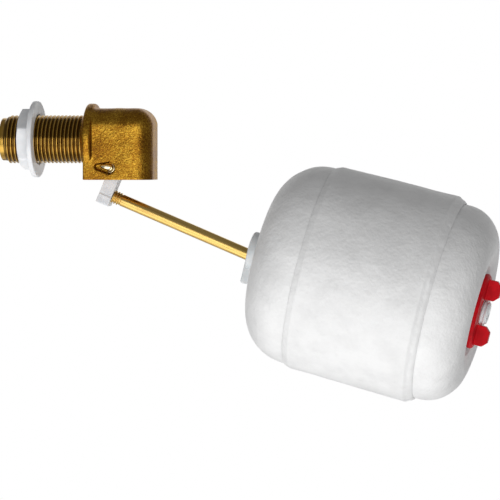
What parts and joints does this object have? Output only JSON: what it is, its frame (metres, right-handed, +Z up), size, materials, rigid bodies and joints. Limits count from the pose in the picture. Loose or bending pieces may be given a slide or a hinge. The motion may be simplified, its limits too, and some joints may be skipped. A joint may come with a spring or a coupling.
{
  "type": "float valve",
  "caption": "Brass angle float valve with a threaded inlet shank and backnut, a pivoted plastic lever, a straight brass rod and a large hollow white float held by a red wing nut.",
  "frame": {"origin": "on the inlet shank's axis, in the plane of the collar's sealing face", "axes": "+X from the inlet along the shank towards the float, +Z up as installed, XZ is the plane of symmetry"},
  "size_m": [0.2328, 0.0978, 0.1378],
  "materials": {
    "cast_brass": "sand-cast, uncoated, with a machined thread",
    "turned_brass": "turned",
    "pin_brass": "drawn wire, bright",
    "rod_brass": "drawn rod, bright",
    "white_nylon": "moulded, slightly translucent",
    "white_acetal": "moulded, slightly translucent",
    "white_float": "rotationally moulded, faintly mottled",
    "stem_plastic": "moulded",
    "red_plastic": "moulded",
    "black_rubber": "moulded"
  },
  "bodies": {
    "valve": {"valve_body": "cast_brass", "seat_nozzle": "turned_brass", "nozzle_o_ring": "black_rubber", "pivot_pin": "pin_brass"},
    "plunger": {"plunger": "white_acetal", "plunger_seal": "black_rubber", "seal_screw": "turned_brass"},
    "float_arm": {"lever": "white_acetal", "float_rod": "rod_brass", "float_stem": "stem_plastic", "stem_o_ring": "black_rubber", "float_core_tube": "white_float", "float_near_dome": "white_float", "float_band": "white_float", "float_far_dome": "white_float", "far_washer": "black_rubber"},
    "mounting_nut": {"mounting_nut": "white_nylon"},
    "wing_nut": {"wing_nut": "red_plastic"}
  },
  "joints": [
    {"name": "lever_swing", "type": "hinge", "parent": "valve", "child": "float_arm", "pos_m": [0.01205, 0, -0.0132], "axis": [0, -1, 0], "range_deg": [0, 22]},
    {"name": "plunger_slide", "type": "slide", "parent": "valve", "child": "plunger", "axis": [-1, 0, 0], "range_m": [0, 0.00505]},
    {"name": "mounting_nut_travel", "type": "slide", "parent": "valve", "child": "mounting_nut", "axis": [1, 0, 0], "range_m": [-0.009, 0.0215]},
    {"name": "wing_nut_turn", "type": "hinge", "parent": "float_arm", "child": "wing_nut", "pos_m": [0.18054, 0, -0.07802], "axis": [0.9682, 0, -0.25], "continuous": true}
  ],
  "couplings": [
    {"joint": "plunger_slide", "follows": "lever_swing", "m_per_rad": 0.013119}
  ]
}
